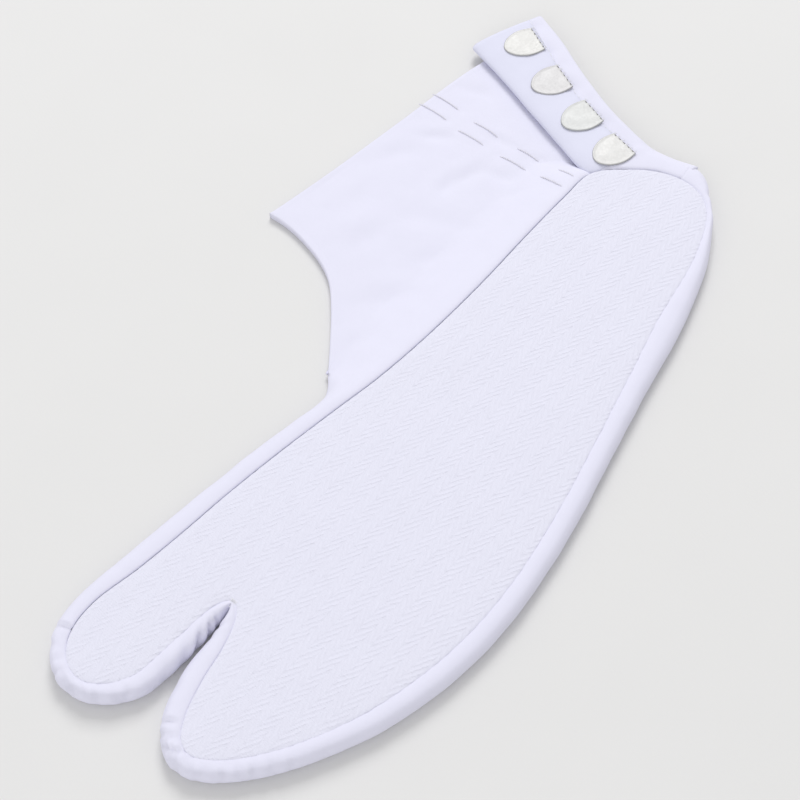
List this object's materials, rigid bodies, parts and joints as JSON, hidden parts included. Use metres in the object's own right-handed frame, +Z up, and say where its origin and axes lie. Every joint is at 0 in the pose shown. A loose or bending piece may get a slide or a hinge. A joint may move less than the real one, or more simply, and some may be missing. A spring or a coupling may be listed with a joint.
{
  "type": "tabi sock",
  "caption": "Split-toe ankle sock of sewn cloth, laid flat sole up, its heel flap folded back to show metal hook clasps.",
  "frame": {"origin": "on the surface that the sock lies on, under the middle of its outline", "axes": "+Y along the foot from the toes to the heel, +X across the foot from the big toe's side and the ankle to the outer side, +Z up out of the sole"},
  "size_m": [0.148, 0.2802, 0.0078],
  "materials": {
    "sole_cloth": "thick white herringbone cotton, matt",
    "upper_cloth": "fine plain white cotton, matt with a faint sheen",
    "facing_cloth": "smooth white cotton facing, matt",
    "clasp_metal": "nickel-plated pressed sheet, softly bright",
    "thread": "twisted white sewing cord"
  },
  "bodies": {
    "root": {"sole": "sole_cloth", "upper_medial": "upper_cloth", "upper_lateral": "upper_cloth", "flap_facing": "facing_cloth", "clasp_1": "clasp_metal", "clasp_2": "clasp_metal", "clasp_3": "clasp_metal", "clasp_4": "clasp_metal", "loop_back_1": "thread", "loop_back_2": "thread", "loop_back_3": "thread", "loop_back_4": "thread", "loop_front_1": "thread", "loop_front_2": "thread", "loop_front_3": "thread", "loop_front_4": "thread"}
  },
  "joints": []
}
